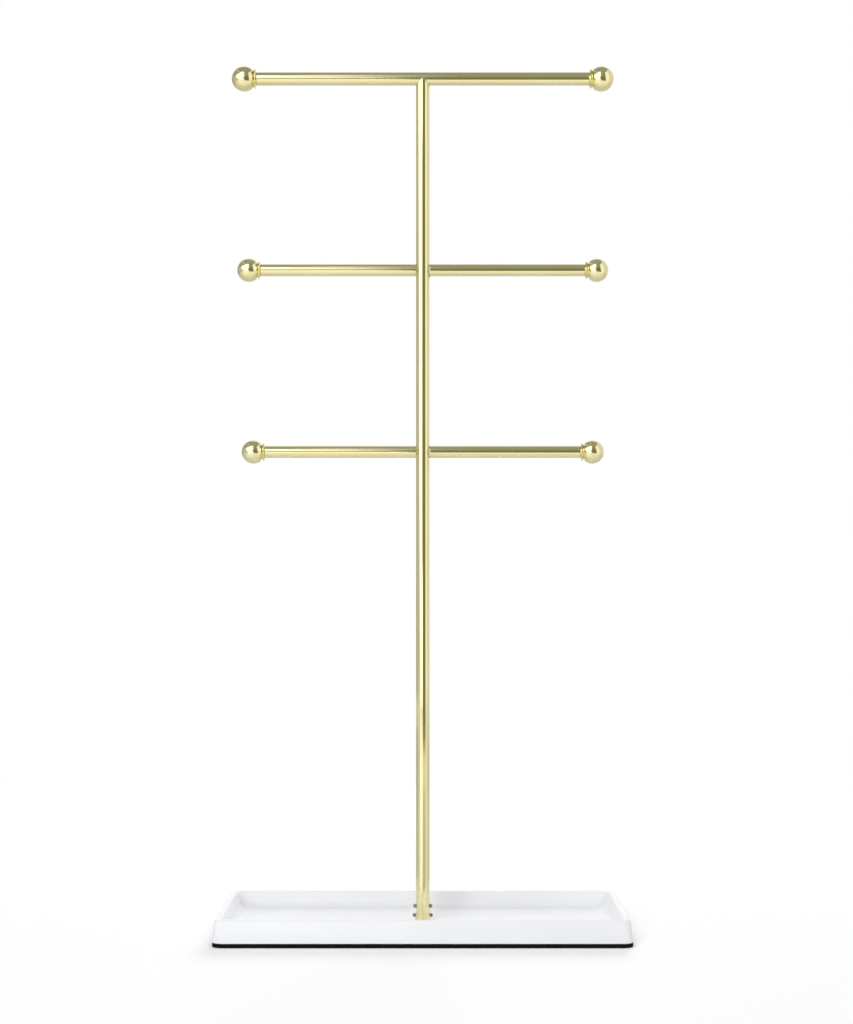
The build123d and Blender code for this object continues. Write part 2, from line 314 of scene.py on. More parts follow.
def plate_rings(half_x, half_y, corner, height):
    """Level rounded rectangles, one for each row: straight sides joined by quarter circles of radius corner.

    A point is the corner circle's centre, at half size less corner, plus corner * (cos a, sin a). Along a
    straight side the angle stays and the centre slides to the next corner. Equal sizes give a circle.
    """
    slide = np.linspace(1, -1, EDGE_SIDES + 1)[1:-1]
    bend = np.linspace(0, math.pi / 2, CORNER_SIDES + 1)
    flat = np.ones_like(slide)
    one = np.ones_like(bend)
    centre_x = np.concatenate([one, slide, -one, -flat, -one, -slide, one, flat])
    centre_y = np.concatenate([one, flat, one, slide, -one, -flat, -one, -slide])
    quarter = math.pi / 2
    swing = np.concatenate([
        bend, flat * quarter, bend + quarter, flat * 2 * quarter,
        bend + 2 * quarter, flat * 3 * quarter, bend + 3 * quarter, flat * 0,
    ])
    half_x, half_y, corner, height = (values[:, None] for values in (half_x, half_y, corner, height))
    x = centre_x * (half_x - corner) + corner * np.cos(swing)
    y = centre_y * (half_y - corner) + corner * np.sin(swing)
    return np.stack([x, y, height + 0 * x], axis=-1)


def grid_object(name, points, closed_rows=False, closed_columns=False):
    """An object skinned over rows and columns of points.

    A face joins each row to the next and each column to the next. Those that close run on to the first.
    """
    rows, columns = points.shape[:2]
    row = np.arange(rows if closed_rows else rows - 1)[:, None]
    column = np.arange(columns if closed_columns else columns - 1)[None, :]
    next_row = (row + 1) % rows
    next_column = (column + 1) % columns
    faces = np.stack([
        row * columns + column,
        row * columns + next_column,
        next_row * columns + next_column,
        next_row * columns + column,
    ], axis=-1).reshape(-1, 4)
    mesh = bpy.data.meshes.new(name)
    mesh.from_pydata(points.reshape(-1, 3).tolist(), [], faces.tolist())
    made = bpy.data.objects.new(name, mesh)
    bpy.context.scene.collection.objects.link(made)
    return made


def piece_from_grid(name, points, closed_rows=True):
    """A closed piece over rings of points, which close on themselves too where the profile is a loop.

    Points that fall together, as at a pole, are merged, and faces turned outwards.
    """
    piece = grid_object(name, points, closed_rows, closed_columns=True)
    mesh = piece.data
    shell = bmesh.new()
    shell.from_mesh(mesh)
    bmesh.ops.remove_doubles(shell, verts=shell.verts, dist=MERGE_DISTANCE)
    bmesh.ops.dissolve_degenerate(shell, edges=shell.edges, dist=MERGE_DISTANCE)
    bmesh.ops.recalc_face_normals(shell, faces=shell.faces)
    shell.to_mesh(mesh)
    shell.free()
    mesh.polygons.foreach_set("use_smooth", np.ones(len(mesh.polygons), bool))
    mesh.set_sharp_from_angle(angle=SHARP_ANGLE)
    return piece


def fit(piece, material, slot, *nodes):
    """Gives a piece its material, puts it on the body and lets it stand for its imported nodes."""
    piece.data.materials.append(material)
    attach(piece, BODY)
    if nodes:
        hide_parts(*nodes)
    return piece


# ---- materials ----

LONG, FINE = 14.0, 0.35          # length and spacing of the metal's drawn and turned lines, in millimetres
NOISE_LOW, NOISE_HIGH = 0.3, 0.7     # nearly all values of a noise lie between these


def add(tree, kind, settings=None, **inputs):
    """Adds a shader node. settings are its own values, and inputs are its sockets' values or what feeds them.

    An input is called by its socket's name with _ for each space, or by its number after a _. A node that
    feeds one does so by its first output.
    """
    node = tree.nodes.new(f"ShaderNode{kind}")
    for name, value in (settings or {}).items():
        setattr(node, name, value)
    for name, value in inputs.items():
        socket = node.inputs[int(name[1:]) if name[0] == "_" else name.replace("_", " ")]
        if isinstance(value, bpy.types.Node):
            value = value.outputs[0]
        if isinstance(value, bpy.types.NodeSocket):
            tree.links.new(value, socket)
        else:
            socket.default_value = value
    return node


def new_material(name):
    """An empty material, and its node tree."""
    material = bpy.data.materials.new(name)
    material.use_nodes = True
    material.node_tree.nodes.clear()
    return material, material.node_tree


def finished(material, tones=None, bump=None, **inputs):
    """The material, with the Principled shader and these inputs wired to its output.

    tones are a pattern and the two colours that it turns from one to the other. bump is a pattern that raises
    the surface, with its strength and its depth in millimetres.
    """
    tree = material.node_tree
    if tones:
        turn, first, second = tones
        mix = add(tree, "Mix", {"data_type": "RGBA"}, _0=turn, _6=rgba(first), _7=rgba(second))
        inputs["Base_Color"] = mix.outputs[2]
    if bump:
        height, strength, depth = bump
        inputs["Normal"] = add(tree, "Bump", Height=height, Strength=strength, Distance=depth * MM)
    add(tree, "OutputMaterial", Surface=add(tree, "BsdfPrincipled", **inputs))
    return material


def scaled_place(tree, millimetres):
    """Object coordinates with one pattern unit as long as this, or as these three sizes along X, Y and Z."""
    place = add(tree, "TexCoord")
    per_metre = tuple((1 / (np.ones(3) * millimetres * MM)).tolist())
    return add(tree, "Mapping", Vector=place.outputs["Object"], Scale=per_metre)


def pattern(tree, millimetres, detail=2.0, roughness=0.5):
    """Noise whose features are about as long as the given size or sizes."""
    return add(
        tree, "TexNoise", Vector=scaled_place(tree, millimetres), Scale=1.0, Detail=detail,
        Roughness=roughness,
    )


def uneven(tree, millimetres, low=0.0, high=1.0, detail=2.0):
    """A value that wanders from low to high over patches about as long as the given size or sizes."""
    return add(
        tree, "MapRange", Value=pattern(tree, millimetres, detail), From_Min=NOISE_LOW,
        From_Max=NOISE_HIGH, To_Min=low, To_Max=high,
    )


def bright_brass(finishes, name, grain, softer=1.0):
    """Metal, drawn or turned, polished and brass plated under clear lacquer, its gloss this much softer.

    The eye gets a pale champagne mirror with faint lines the way the metal was worked, slightly uneven gloss
    and a plate that is a touch yellower where it is thin. grain is those lines' length along X, Y and Z.
    """
    material, tree = new_material(name)
    gloss = finishes.brass_gloss * softer
    # Real draw and lathe lines are about 0.05 mm apart. They are drawn 0.35 mm apart so that they show.
    lines = pattern(tree, grain, detail=1, roughness=0.6)
    return finished(
        material,
        tones=(uneven(tree, 45), finishes.brass, finishes.brass_thin),
        bump=(lines, 0.02, 0.02),
        Metallic=1.0,
        Roughness=uneven(tree, 11, 0.8 * gloss, 1.25 * gloss, detail=4),
    )


def drawn_upright(finishes):
    """The post's tube: its draw lines run up it."""
    return bright_brass(finishes, "Drawn steel tube, bright brass plated", (FINE, FINE, LONG))


def drawn_level(finishes):
    """The bars: their draw lines run along them."""
    return bright_brass(finishes, "Drawn steel bar, bright brass plated", (LONG, FINE, FINE))


def turned_level(finishes):
    """The ball ends: their lathe lines run round the bars' axis."""
    return bright_brass(finishes, "Turned brass, bright brass plated", (FINE, LONG, LONG))


def turned_upright(finishes):
    """The ferrule: its lathe lines run round the post, and its plate has a satin gloss."""
    return bright_brass(finishes, "Turned brass collar, satin brass plated", (LONG, LONG, FINE), softer=3.0)


def plated_braze(finishes):
    """Braze metal at the joints, plated over with the rest: softer in shape and gloss than the rods."""
    material, tree = new_material("Brass-plated braze metal")
    return finished(
        material,
        bump=(pattern(tree, 0.5, detail=3), 0.2, 0.05),
        Base_Color=rgba(finishes.braze),
        Metallic=1.0,
        Roughness=uneven(tree, 0.8, 0.32, 0.46),
    )


def painted_shade_rivet(finishes):
    """Cold-headed steel with a thin brass plate, darker and greyer than the polished pieces: its colour is
    painted shade for the dark reflections on the rivet heads.
    """
    material, tree = new_material("Cold-headed steel rivet, thin brass plate")
    return finished(
        material,
        Base_Color=rgba(finishes.rivet),
        Metallic=1.0,
        Roughness=uneven(tree, 0.6, 0.3, 0.42),
    )


def turned_brass(finishes):
    """Free-cutting brass left as turned: warm, with a fine ring pattern round the axis."""
    material, tree = new_material("Free-cutting brass, as turned")
    rings = (20, 20, 0.3)
    return finished(
        material,
        bump=(pattern(tree, rings), 0.3, 0.02),
        Base_Color=rgba(finishes.bare_brass),
        Metallic=1.0,
        Roughness=uneven(tree, rings, 0.22, 0.34),
    )


def zinc_steel(finishes):
    """Carbon steel fixings, bright zinc plated: cool grey, crystalline and slightly cloudy."""
    material, tree = new_material("Carbon steel, bright zinc plated")
    return finished(
        material,
        bump=(pattern(tree, 0.4), 0.2, 0.02),
        Base_Color=rgba(finishes.zinc),
        Metallic=1.0,
        Roughness=uneven(tree, 2.5, 0.24, 0.42, detail=5),
    )


def moulded_white(finishes):
    """ABS, injection moulded in a polished tool, cool white.

    The eye gets an almost even white with soft reflections, a very slight ripple left by the tool's polish,
    and gloss that wanders a little where hands and cloths have been.
    """
    material, tree = new_material("ABS, injection moulded, gloss white")
    gloss = finishes.tray_gloss
    darker = [0.972 * channel for channel in finishes.enamel]
    return finished(
        material,
        tones=(uneven(tree, 60, detail=3), finishes.enamel, darker),
        bump=(pattern(tree, 3.2), 0.12, 0.03),
        Roughness=uneven(tree, 38, 0.85 * gloss, 1.15 * gloss, detail=4),
        IOR=1.54,
        Specular_IOR_Level=0.3,
    )


def cut_foam(finishes):
    """Closed-cell EVA foam, die cut from sheet: dull soot black, with open cells where the die cut it."""
    material, tree = new_material("EVA foam, closed cell, die cut")
    # Real cells are about 0.15 mm across. They are drawn at 0.45 mm so that they show.
    cells = add(tree, "TexVoronoi", Vector=scaled_place(tree, 0.45), Scale=1.0)
    speckle = add(tree, "MapRange", Value=cells, From_Min=NOISE_LOW, From_Max=NOISE_HIGH)
    paler = [1.9 * channel for channel in finishes.foam]
    return finished(
        material,
        tones=(speckle, finishes.foam, paler),
        bump=(cells, 0.6, 0.12),
        Roughness=0.97,
        Specular_IOR_Level=0.12,
    )


# ---- pieces ----

def turned(name, along, radius, place, axis, material, *nodes, loop=False):
    """A turned piece: place + along * axis + radius * (cos a, sin a) in the plane across the axis.

    along may be one number for each row, or one for each row and side where an end follows another surface.
    loop says that the section is a closed loop.
    """
    along = np.asarray(along, float)
    along = along[:, None] if along.ndim == 1 else along
    around = AROUND[None, :, None]
    axis = np.asarray(axis, float)
    first = np.array([1.0, 0, 0]) if abs(axis[2]) > 0.5 else np.array([0, 1.0, 0])
    second = np.cross(axis, first)
    across = np.cos(around) * first + np.sin(around) * second
    radius = np.asarray(radius, float)[:, None, None]
    points = place + along[:, :, None] * axis + radius * across
    return fit(piece_from_grid(name, points, loop), material, "brass_plate", *nodes)


def plate(name, node, section, corner, hole, hole_heights):
    """A rounded rectangular plate: its edge's section of inset and height carried round as level rings.

    The rings go on as circles down or up the walls of a round hole in its middle.
    """
    half_x, half_y = box_of(node)[1][:2]
    inset, height = section.T
    rings = plate_rings(
        np.concatenate([half_x - inset, hole]),
        np.concatenate([half_y - inset, hole]),
        np.concatenate([corner, hole]),
        np.concatenate([height, hole_heights]),
    )
    return piece_from_grid(name, rings)


def make_pad(sizes, finishes):
    """A sheet of foam in the tray's outline, with a round hole: a plate with two rounded edges."""
    low, high = box_of("base_pad")
    run = FLAT_RUN * sizes.pad_round
    section = rounded(
        [(run, low[2]), (0.0, low[2]), (0.0, high[2]), (run, high[2])],
        [0.0, sizes.pad_round, sizes.pad_cut, 0.0],
    )
    corner = sizes.corner - section[:, 0]
    piece = plate("foam_pad", "base_pad", section, corner, [sizes.pad_hole] * 2, [high[2], low[2]])
    fit(piece, cut_foam(finishes), "black_foam", "base_pad")
    return piece


def make_tray(sizes, finishes):
    """The moulded tray: a plate with a shallow recess, and a stepped hole under the post.

    The section runs from the recess floor up the coved inner wall, over the rim and down the leaning outside.
    The rings' corners change evenly from the foot's radius to the rim's, the recess mouth's and the recess
    floor's.
    """
    low, high = box_of("base_tray")
    bottom, top = low[2], high[2]
    floor = bottom + sizes.floor
    mouth = sizes.lean + sizes.rim_width
    recess_foot = mouth + sizes.recess_slope
    flat = recess_foot + 2 * sizes.cove
    section = rounded(
        [
            (flat, floor), (recess_foot, floor), (mouth, top), (sizes.lean, top), (0.0, bottom),
            (FLAT_RUN * sizes.foot_round, bottom),
        ],
        [0.0, sizes.cove, sizes.rim_round, sizes.rim_round, sizes.foot_round, 0.0],
        steps=TRAY_ARC_STEPS,
    )
    corners = [
        sizes.corner, sizes.corner - sizes.lean, sizes.recess_rim_corner, sizes.recess_floor_corner,
        sizes.recess_floor_corner / 2,
    ]
    corner = np.interp(section[:, 0], [0.0, sizes.lean, mouth, recess_foot, flat], corners)
    seat = bottom + sizes.counterbore_depth
    hole = [sizes.counterbore, sizes.counterbore, sizes.screw_hole, sizes.screw_hole]
    piece = plate("tray_moulding", "base_tray", section, corner, hole, [bottom, seat, seat, floor])
    return fit(piece, moulded_white(finishes), "white_gloss", "base_tray")


def make_ferrule(sizes, material):
    """The foot ferrule: the section of a low thin sleeve, its upper edge chamfered, spun round the post."""
    low, high = box_of("foot_ferrule")
    bore, outer = upright_radius("post") + sizes.sleeve_gap, high[0]
    top, chamfer = high[2] - low[2], sizes.sleeve_chamfer
    section = rounded(
        [(0.0, bore), (0.0, outer), (top - chamfer, outer), (top, outer - chamfer), (top, bore)],
        [0.0, sizes.edge / 2, sizes.edge, sizes.edge / 2, 0.0],
        closed=True,
    )
    foot = (0, 0, low[2])
    return turned("ferrule_turning", *section.T, foot, (0, 0, 1), material, "foot_ferrule", loop=True)


def cope(radius, seat):
    """Where a ring of this radius round a level axis meets an upright round of radius seat.

    That is at x = sqrt(seat squared - y squared).
    """
    return np.sqrt(seat ** 2 - (radius * np.cos(AROUND)) ** 2)


def make_rivet(sizes, node, side, seat_radius, material):
    """A foot rivet that points to one side, spun round its axis: a plain shank, and a half ball for its head.

    The head's back follows the upright round that it sits on.
    """
    head, axis_height = level_round(node)
    tail, tip = reach(node)
    shank, chamfer = sizes.rivet_shank, sizes.rivet_chamfer
    seat = seat_radius + sizes.rivet_seat
    swing = np.linspace(math.pi / 2, 0, 2 * ARC_STEPS)
    along = np.concatenate([
        np.array([tail, tail, tail + chamfer])[:, None] * EVERY_SIDE,
        [cope(shank, seat), cope(head, seat)],
        (tip - head + head * np.cos(swing))[:, None] * EVERY_SIDE,
    ])
    across = np.concatenate([[0.0, shank - chamfer, shank, shank, head], head * np.sin(swing)])
    return turned(f"{node}_head", along, across, (0, 0, axis_height), (side, 0, 0), material, node)


def saddle_height(radius, bar_radius, ear_drop):
    """How far under the top bar's axis a ring of the post ends.

    It ends where the bar's round is, at sqrt(bar radius squared - y squared), but never higher than the ears.
    """
    across = np.clip(np.abs(radius * np.sin(AROUND)), 0, bar_radius)
    return np.maximum(np.sqrt(bar_radius ** 2 - across ** 2), ear_drop)


def make_post(sizes, material):
    """A tube whose outer and inner walls both end on the top bar's round."""
    bar_radius, bar_axis = level_round("top_bar")
    saddle = bar_radius + sizes.seat_gap
    foot = box_of("post")[0][2]
    outer = upright_radius("post")
    inner = outer - sizes.wall
    length_outer = bar_axis - saddle_height(outer, saddle, sizes.ear_drop) - foot
    length_inner = bar_axis - saddle_height(inner, saddle, sizes.ear_drop) - foot
    rise = np.linspace(0, 1, LENGTH_STEPS)[:, None]
    along = np.concatenate([rise * length_outer, [length_inner, 0 * length_inner]])
    radius = np.concatenate([np.full(LENGTH_STEPS, outer), [inner, inner]])
    return turned("post_tube", along, radius, (0, 0, foot), (0, 0, 1), material, "post", loop=True)


def make_top_bar(sizes, material):
    """A round bar with a blind hole in each end, spun as one section."""
    radius, axis_height = level_round("top_bar")
    _, half = reach("top_bar")
    hole, hole_end = sizes.spigot_hole, half - sizes.spigot_hole_depth
    held = half - HELD * sizes.end_break
    right = [(held, radius), (half, radius), (half, hole), (hole_end, hole), (hole_end, 0.0)]
    left = [(-along, across) for along, across in reversed(right)]
    plain = [0.0, 0.0, 0.0]
    section = rounded(left + right, plain + [sizes.end_break, 0.0, 0.0, sizes.end_break] + plain)
    return turned("top_bar_rod", *section.T, (0, 0, axis_height), (1, 0, 0), material, "top_bar")


def make_arm(sizes, node, side, material):
    """An arm that points to one side: coped nose with a pin hole, rounded shoulder, blind hole in its end."""
    radius, axis_height = level_round(node)
    _, end = reach(node)
    post = upright_radius("post")
    seat = post + sizes.seat_gap
    shoulder = post + sizes.shoulder_gap
    pin_end = (post + sizes.pin_depth) * EVERY_SIDE
    hole, hole_end = sizes.spigot_hole, end - sizes.spigot_hole_depth
    held_in, held_out = shoulder + HELD * sizes.shoulder_round, end - HELD * sizes.end_break
    outside = rounded(
        [
            (shoulder, sizes.nose), (shoulder, radius), (held_in, radius),
            (held_out, radius), (end, radius), (end, hole), (hole_end, hole), (hole_end, 0.0),
        ],
        [0.0, sizes.shoulder_round, 0.0, 0.0, sizes.end_break, 0.0, 0.0, 0.0],
    )
    along = np.concatenate([
        [pin_end, pin_end, cope(sizes.pin_hole, seat), cope(sizes.nose, seat)],
        outside[:, :1] * EVERY_SIDE,
    ])
    across = np.concatenate([[0.0, sizes.pin_hole, sizes.pin_hole, sizes.nose], outside[:, 1]])
    return turned(f"{node}_rod", along, across, (0, 0, axis_height), (side, 0, 0), material, node)


def make_finial(sizes, node, side, bar_node, collar_proud, material):
    """A ball end, one section spun round the bar's axis: spigot, collar, hollow flare, groove and ball."""
    ball, axis_height = level_round(node)
    bar_radius, _ = level_round(bar_node)
    _, face = reach(bar_node)
    collar = bar_radius + collar_proud
    lip = sizes.collar_back + sizes.lip_width
    groove = lip + sizes.flare_length
    groove_radius = collar - sizes.groove_depth
    centre = groove + sizes.groove_width + ball * math.cos(sizes.ball_cut)
    spigot, spigot_end, chamfer = sizes.spigot, -sizes.spigot_length, sizes.spigot_chamfer
    body = rounded(
        [
            (spigot_end, 0.0), (spigot_end, spigot - chamfer), (spigot_end + chamfer, spigot), (0.0, spigot),
            (0.0, bar_radius), (sizes.collar_back, collar), (lip, collar), (groove, groove_radius),
        ],
        [0.0, 0.0, 0.0, 0.0, 0.0, sizes.edge, sizes.edge, 0.0],
    )[:-ARC_STEPS]
    flare = bulge(body[-1], (groove, groove_radius), -sizes.flare_hollow)
    swing = np.linspace(math.pi - sizes.ball_cut, 0, BALL_STEPS)
    globe = np.stack([centre + ball * np.cos(swing), ball * np.sin(swing)], axis=1)
    section = np.concatenate([body, flare[1:], globe])
    place = (side * face, 0, axis_height)
    return turned(f"{node}_turning", *section.T, place, (side, 0, 0), material, node)


def make_arm_braze(sizes, node, side, material):
    """The braze that fills the narrow wedge between an arm's shoulder and the post, round the coped nose.

    Its outline is carried straight from the post's round to the shoulder: the arm's own circle, filed flat in
    front and behind a little deeper than the nose, so the post's side stays clear.
    """
    arm, axis_height = level_round(node)
    post = upright_radius("post")
    shoulder = post + sizes.shoulder_gap

    def ring(radius, deep, on_post):
        y, z = np.clip(radius * np.cos(AROUND), -deep, deep), radius * np.sin(AROUND)
        x = on_post * np.sqrt(post ** 2 - y ** 2) + (1 - on_post) * shoulder
        return np.stack([side * x, y, axis_height + z], axis=-1)

    edge, nose = arm - sizes.shoulder_round / 2, sizes.nose
    deep = nose + sizes.arm_braze
    rows = np.stack([ring(edge, deep, 1), ring(edge, deep, 0), ring(nose, nose, 0), ring(nose, nose, 1)])
    return fit(piece_from_grid(f"{node}_braze", rows), material, "brass_plate")


def make_saddle_braze(sizes, material):
    """The braze along the saddle: a hollow fillet from the post's wall to the top bar's round.

    Between its edges A and B each row is (1-v)^2 A + 2v(1-v) C + v^2 B, with C where the post meets the bar.
    """
    bar_radius, axis_height = level_round("top_bar")
    post, leg = upright_radius("post"), sizes.saddle_braze
    widest = math.sqrt(bar_radius ** 2 - sizes.ear_drop ** 2)
    x = post * np.cos(AROUND)
    y = np.clip(post * np.sin(AROUND), -widest, widest)
    depth = -np.sqrt(bar_radius ** 2 - y ** 2)
    corner = np.stack([x, y, axis_height + depth], axis=1)
    on_post = np.stack([x, post * np.sin(AROUND), axis_height + depth - leg], axis=1)
    out = np.stack([np.cos(AROUND), np.sin(AROUND), 0 * x], axis=1)
    normal = np.stack([0 * x, y, depth], axis=1) / bar_radius
    out = unit(out - normal * np.sum(out * normal, axis=1, keepdims=True))
    on_bar = corner + leg * out
    middle = np.array([0, axis_height])
    on_bar[:, 1:] = middle + bar_radius * unit(on_bar[:, 1:] - middle)
    v = np.linspace(0, 1, ARC_STEPS)[:, None, None]
    hollow = (1 - v) ** 2 * on_post + 2 * v * (1 - v) * corner + v ** 2 * on_bar
    in_wall = 0.93          # the ring closes out of sight, at this share of the post's radius
    inside = corner * [in_wall, in_wall, 1.0] - [0, 0, leg / 2]
    rows = np.concatenate([hollow, inside[None]])
    return fit(piece_from_grid("saddle_braze", rows), material, "brass_plate")


def make_braze_drop(sizes, material):
    """A bead of braze that ran down beside the middle right arm: a turned drop, a quarter fuller below."""
    _, axis_height = level_round("middle_arm_right")
    swing = np.linspace(0, math.pi, 2 * ARC_STEPS)
    along = sizes.drop_rise * np.cos(swing)
    radius = sizes.drop_radius * np.sin(swing) * (1 + np.cos(swing) / 4)
    place = (upright_radius("post"), -sizes.drop_forward, axis_height - sizes.drop_under)
    return turned("middle_braze_drop", along, radius, place, (0, 0, -1), material)


# ---- studio ----

FLOOR_HALF = 12.0                    # half the floor's width, in metres
FLOOR_DROP = 0.02 * MM               # keeps the floor clear of the pad's face
FLOOR_LIFT = 0.04                    # light added to the paper as it is seen
SHADED_WITHIN = 0.45                 # distance from the post where the paper begins to turn to plain white
WHITE_BEYOND = 0.95                  # and where it is plain white
BACK_Y, BACK_GLOW = 0.25, 0.72       # painted glow of the paper as the metal sees it, from here to the back
FRONT_Y, FRONT_GLOW = -0.6, 1.15     # and from here to the front
SHEEN = 0.12                         # roughness of the paper's sheen at low angles
PAPER_IOR = 1.5

# Glowing panels seen only by the metal: painted reflections of softboxes, dark cloth and boards, not lamps
# name, distance, height of the lower and upper edge in metres, azimuth of the left and right end of the lower
# edge and of the upper edge in degrees, brightness at the left and right
PANELS = (
    ("softbox", 1.8, (0.02, 1.0), (-47, 4), (-85, -3), (1.85, 1.85)),
    ("softbox_upper", 1.8, (1.0, 2.1), (-84, -3), (-46, -5), (2.3, 2.3)),
    ("softbox_top", 1.8, (2.1, 3.1), (-46, -5), (-36, -26), (2.3, 2.3)),
    ("camera_table", 1.2, (0.2, 0.68), (-12, 2), (-12, 2), (0.62, 0.42)),
    ("curtain", 1.02, (0.02, 0.75), (-0.5, 48), (-2, 38), (0.22, 0.22)),
    ("fade", 1.02, (0.75, 2.3), (-9, 1.5), (-9, 1.5), (1.25, 0.38)),
    ("curtain_upper", 1.02, (0.75, 2.3), (1.5, 41), (1.5, 41), (0.38, 0.34)),
    ("reflector_right", 1.8, (0.02, 2.2), (38, 75), (38, 75), (1.15, 1.15)),
    ("flat_right", 1.8, (0.02, 2.6), (75, 150), (75, 150), (0.85, 0.85)),
    ("flat_left", 1.85, (0.02, 1.0), (-112, -44), (-112, -44), (0.62, 0.62)),
    ("flat_left_upper", 1.85, (1.0, 2.6), (-112, -44), (-112, -40), (0.4, 0.4)),
    ("flat_rear_left", 1.85, (0.02, 2.6), (-158, -112), (-158, -112), (0.45, 0.45)),
)
# panels whose painted reflection takes the cloth tint
TINTED_PANELS = ("curtain", "curtain_upper")
PANEL_STEPS = 20
# a dark glowing card that paints the ceiling's reflection into the metal
CEILING_HALF = 2.0
CEILING_HEIGHT = 3.2
CEILING_BRIGHTNESS = 0.37
WHITE = (1.0, 1.0, 1.0)

# name, degrees to the right of the camera's direction, degrees up, distance and width in metres
LAMPS = (
    ("top", 0, 78, 2.0, 1.6),
    ("key", -18, 22, 2.8, 0.8),
    ("side", -40, 24, 2.8, 1.8),
    ("back", 170, 20, 2.4, 1.2),
)


def seen_rays(tree):
    """One for rays from the camera, from gloss and through glass, and zero for the rest."""
    rays = add(tree, "LightPath").outputs
    larger = {"operation": "MAXIMUM"}
    first = add(tree, "Math", larger, _0=rays["Is Camera Ray"], _1=rays["Is Glossy Ray"])
    return add(tree, "Math", larger, _0=first, _1=rays["Is Transmission Ray"])


def make_world(studio):
    """A white studio: seen as plain white, and giving surfaces an even, dimmer light."""
    world = bpy.data.worlds.new("White studio")
    world.use_nodes = True
    tree = world.node_tree
    tree.nodes.clear()
    strength = add(tree, "MapRange", Value=seen_rays(tree), To_Min=studio.sky, To_Max=1.0)
    glow = add(tree, "Background", Color=rgba(WHITE), Strength=strength)
    add(tree, "OutputWorld", Surface=glow)
    bpy.context.scene.world = world


def level_square(name, half, height):
    """A flat square at one height, centred over the post."""
    x, y = np.meshgrid([-half, half], [-half, half])
    return grid_object(name, np.stack([x, y, np.full_like(x, height)], axis=-1))


def make_floor(studio):
    """Pale satin paper: it takes the stand's shadow nearby, and turns to the studio's white further out.

    The metal sees a painted glow on it, brighter to the front where the lights stand, with a soft sheen at
    low angles.
    """
    material, tree = new_material("Satin paper, white")
    smooth, times = {"interpolation_type": "SMOOTHSTEP"}, {"operation": "MULTIPLY"}
    seen = seen_rays(tree)
    place = add(tree, "TexCoord").outputs["Object"]
    depth = add(tree, "SeparateXYZ", Vector=place)
    # painted light: the paper's glow as the metal sees it, brighter to the front
    glow = add(
        tree, "MapRange", smooth, Value=depth.outputs["Y"], From_Min=BACK_Y, From_Max=FRONT_Y,
        To_Min=BACK_GLOW, To_Max=FRONT_GLOW,
    )
    painted_paper_glow = add(tree, "Emission", Strength=glow)
    sheen = add(tree, "BsdfGlossy", Roughness=SHEEN)
    grazing = add(tree, "Fresnel", IOR=PAPER_IOR)
    mirrored = add(tree, "MixShader", _0=grazing, _1=painted_paper_glow, _2=sheen)
    paper = add(tree, "BsdfDiffuse", Color=rgba(studio.floor))
    lift = add(tree, "Math", times, _0=seen, _1=FLOOR_LIFT)
    near = add(tree, "AddShader", _0=paper, _1=add(tree, "Emission", Strength=lift))
    distance = add(tree, "VectorMath", {"operation": "LENGTH"}, _0=place).outputs["Value"]
    far = add(tree, "MapRange", smooth, Value=distance, From_Min=SHADED_WITHIN, From_Max=WHITE_BEYOND)
    far_seen = add(tree, "Math", times, _0=far, _1=seen)
    white = add(tree, "Emission", Strength=1.0)
    blend = add(tree, "MixShader", _0=far_seen, _1=near, _2=white)
    glossy = add(tree, "LightPath").outputs["Is Glossy Ray"]
    whole = add(tree, "MixShader", _0=glossy, _1=blend, _2=mirrored)
    add(tree, "OutputMaterial", Surface=whole)
    floor = level_square("floor", FLOOR_HALF, -FLOOR_DROP)
    floor.data.materials.append(material)


def painted_reflection_panel(panel, ends, brightness, tint):
    """Makes a glowing panel, a painted reflection of a board or cloth, at a set brightness that no lamp gives
    it.

    The brightness runs smoothly along X from the left end's to the right end's. Only the metal sees the
    panel: it neither shows to the camera nor lights or shades a surface.
    """
    material, tree = new_material(panel.name)
    place = add(tree, "TexCoord").outputs["Object"]
    level = add(
        tree, "MapRange", {"interpolation_type": "SMOOTHSTEP"},
        Value=add(tree, "SeparateXYZ", Vector=place), From_Min=ends[0], From_Max=ends[1],
        To_Min=brightness[0], To_Max=brightness[1],
    )
    glow = add(tree, "Emission", Color=rgba(tint), Strength=level)
    add(tree, "OutputMaterial", Surface=glow)
    panel.data.materials.append(material)
    panel.visible_camera = False
    panel.visible_diffuse = False
    panel.visible_shadow = False
    panel.visible_volume_scatter = False


def make_painted_reflection(cloth, name, distance, heights, foot_ends, top_ends, brightness):
    """A curved glowing card round the stand, a painted reflection: azimuth by height at one distance, its two
    edges as long as asked.
    """
    azimuth = np.radians(np.linspace(*zip(foot_ends, top_ends), PANEL_STEPS).T)
    height = np.array(heights)[:, None] + 0 * azimuth
    points = np.stack([distance * np.sin(azimuth), -distance * np.cos(azimuth), height], axis=-1)
    tint = cloth if name in TINTED_PANELS else WHITE
    painted_reflection_panel(grid_object(name, points), points[1, [0, -1], 0], brightness, tint)


def make_painted_ceiling():
    """A dark glowing card over the set: the ceiling's painted reflection in the metal."""
    ceiling = level_square("ceiling", CEILING_HALF, CEILING_HEIGHT)
    painted_reflection_panel(ceiling, (-CEILING_HALF, CEILING_HALF), (CEILING_BRIGHTNESS, CEILING_BRIGHTNESS), WHITE)


